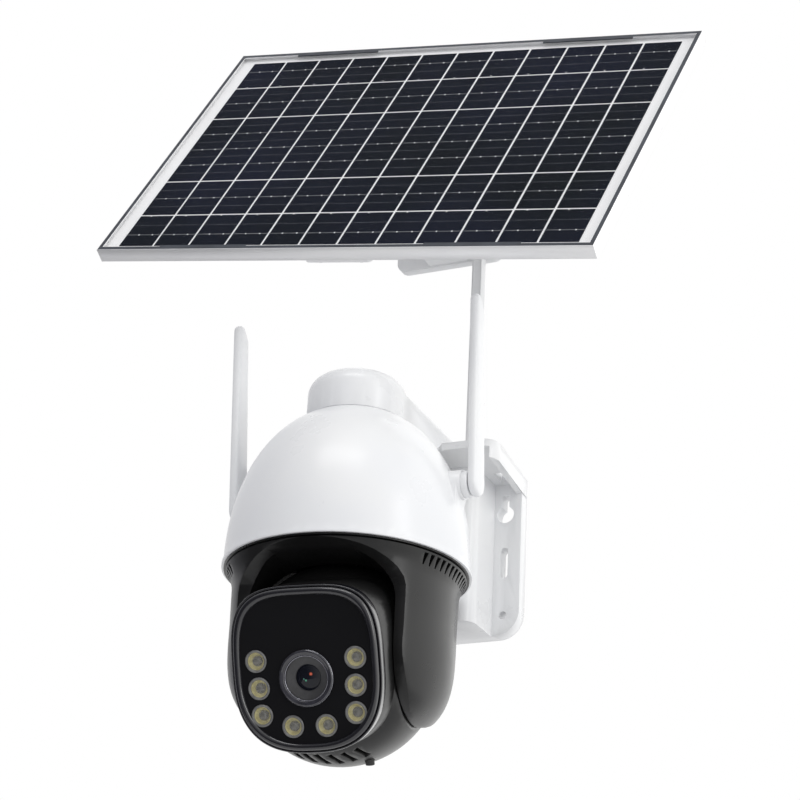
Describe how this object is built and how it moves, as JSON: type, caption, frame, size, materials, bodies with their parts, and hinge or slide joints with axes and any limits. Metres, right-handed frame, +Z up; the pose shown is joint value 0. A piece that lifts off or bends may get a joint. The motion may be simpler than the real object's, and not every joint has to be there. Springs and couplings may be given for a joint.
{
  "type": "solar security camera",
  "caption": "Wall-mounted pan-and-tilt security camera with a dome housing, folding antennas, a lamp-ringed camera head and an adjustable solar panel above it.",
  "frame": {"origin": "middle of the camera bracket's back face, which lies against the wall", "axes": "+Z up the wall, +Y into the wall, -Y to the front where the camera looks, +X to the right seen from the front"},
  "size_m": [0.3168, 0.1569, 0.4577],
  "materials": {
    "white_shell": "smooth glossy white moulding",
    "black_satin": "satin black moulding",
    "black_gloss": "glossy black moulding",
    "black_nylon": "matt black nylon",
    "steel": "zinc-plated steel",
    "bearing_steel": "ground bearing steel",
    "brass_bush": "turned brass",
    "gear_plastic": "natural acetal",
    "board_green": "solder-masked board",
    "board_white": "white solder-masked board",
    "cell_sleeve": "shrink-sleeved battery cell",
    "window_black": "near-black glossy window",
    "led_dome": "milky clear lens cap",
    "led_chip": "phosphor-coated light chip",
    "ring_metal": "bright anodised ring",
    "lens_glass": "coated lens glass",
    "sink_metal": "plain aluminium",
    "speaker_black": "dark pressed frame and cone",
    "rubber": "soft black rubber",
    "white_metal": "white powder coat",
    "frame_aluminium": "natural anodised extrusion",
    "panel_glass": "clear low-iron glass",
    "cell_blue": "dark coated silicon",
    "sheet_white": "white film"
  },
  "bodies": {
    "wall_unit": {"wall_bracket": "white_shell", "cable_bush": "rubber", "dome_cover": "white_shell", "dome_base": "black_satin", "dome_screws": "steel", "battery_cells": "cell_sleeve", "battery_holder": "black_nylon", "power_board": "board_green", "pan_motor": "steel", "slip_ring": "black_nylon", "pan_bearing_outer": "bearing_steel", "antenna_hubs": "white_shell", "antenna_pins": "steel", "link_rail": "white_metal", "rail_screws": "steel", "panel_bracket": "white_metal"},
    "yoke_assembly": {"yoke": "black_satin", "arm_covers": "black_satin", "tilt_bushes": "brass_bush", "tilt_motor": "steel", "yoke_screws": "steel", "pan_hub": "black_nylon", "pan_gear": "gear_plastic", "pan_bearing_inner": "bearing_steel"},
    "camera_head": {"head_shell": "black_satin", "head_bezel": "black_gloss", "front_window": "window_black", "led_lenses": "led_dome", "led_chips": "led_chip", "led_board": "board_white", "heat_sink": "sink_metal", "lens_ring": "ring_metal", "lens_barrel": "black_nylon", "lens_glass": "lens_glass", "main_board": "board_green", "speaker": "speaker_black", "head_axles": "steel", "tilt_gear": "gear_plastic", "head_screws": "steel"},
    "pan_pinion_body": {"pan_pinion": "gear_plastic"},
    "tilt_pinion_body": {"tilt_pinion": "gear_plastic"},
    "left_antenna": {"antenna_left": "white_shell"},
    "right_antenna": {"antenna_right": "white_shell"},
    "button": {"reset_button": "rubber"},
    "panel_swivel": {"swivel_collar": "white_metal", "collar_knob": "black_nylon", "tilt_bolt": "steel", "wing_nut": "black_nylon"},
    "panel_knuckle": {"tilt_knuckle": "white_metal"},
    "solar_panel": {"panel_strap": "frame_aluminium", "frame_long_rails": "frame_aluminium", "frame_short_rails": "frame_aluminium", "corner_keys": "sink_metal", "panel_glass": "panel_glass", "solar_cells": "cell_blue", "back_sheet": "sheet_white", "junction_box": "black_nylon", "junction_lid": "black_nylon", "panel_gland": "black_nylon", "strap_screws": "steel"}
  },
  "joints": [
    {"name": "head_pan", "type": "hinge", "parent": "wall_unit", "child": "yoke_assembly", "pos_m": [0, -0.088, -0.034], "axis": [0, 0, 1], "range_deg": [-184.8, 170.2]},
    {"name": "pan_pinion_spin", "type": "hinge", "parent": "wall_unit", "child": "pan_pinion_body", "pos_m": [0.036, -0.088, -0.0177], "axis": [0, 0, 1], "range_deg": [-855, 928]},
    {"name": "head_tilt", "type": "hinge", "parent": "yoke_assembly", "child": "camera_head", "pos_m": [0, -0.088, -0.08], "axis": [0.9919, 0.1271, 0], "range_deg": [-15, 65.8]},
    {"name": "tilt_pinion_spin", "type": "hinge", "parent": "yoke_assembly", "child": "tilt_pinion_body", "pos_m": [-0.04216, -0.0934, -0.06], "axis": [0.9919, 0.1271, 0], "range_deg": [-265, 62]},
    {"name": "left_antenna_swing", "type": "hinge", "parent": "wall_unit", "child": "left_antenna", "pos_m": [-0.064, -0.0847, 0.009], "axis": [1, 0, 0], "range_deg": [-36, 80]},
    {"name": "right_antenna_swing", "type": "hinge", "parent": "wall_unit", "child": "right_antenna", "pos_m": [0.064, -0.0847, 0.009], "axis": [1, 0, 0], "range_deg": [-30, 86]},
    {"name": "reset_button_press", "type": "slide", "parent": "camera_head", "child": "button", "axis": [0.0521, -0.4066, 0.9121], "range_m": [0, 0.001], "stiffness_N_per_m": 400, "springref_m": -0.0004},
    {"name": "panel_pan", "type": "hinge", "parent": "wall_unit", "child": "panel_swivel", "pos_m": [0.0118, -0.037, 0.1993], "axis": [0, 0, 1], "range_deg": [-13, 11]},
    {"name": "panel_tilt", "type": "hinge", "parent": "panel_swivel", "child": "panel_knuckle", "pos_m": [0.01312, -0.05696, 0.1993], "axis": [0.9978, 0.0663, 0], "range_deg": [-10, 6]},
    {"name": "panel_roll", "type": "hinge", "parent": "panel_knuckle", "child": "solar_panel", "pos_m": [0.01312, -0.05696, 0.1993], "axis": [0.0595, -0.8961, 0.4399], "range_deg": [-4, 15]}
  ],
  "couplings": [
    {"joint": "pan_pinion_spin", "follows": "head_pan", "ratio": -5},
    {"joint": "tilt_pinion_spin", "follows": "head_tilt", "ratio": -4}
  ]
}
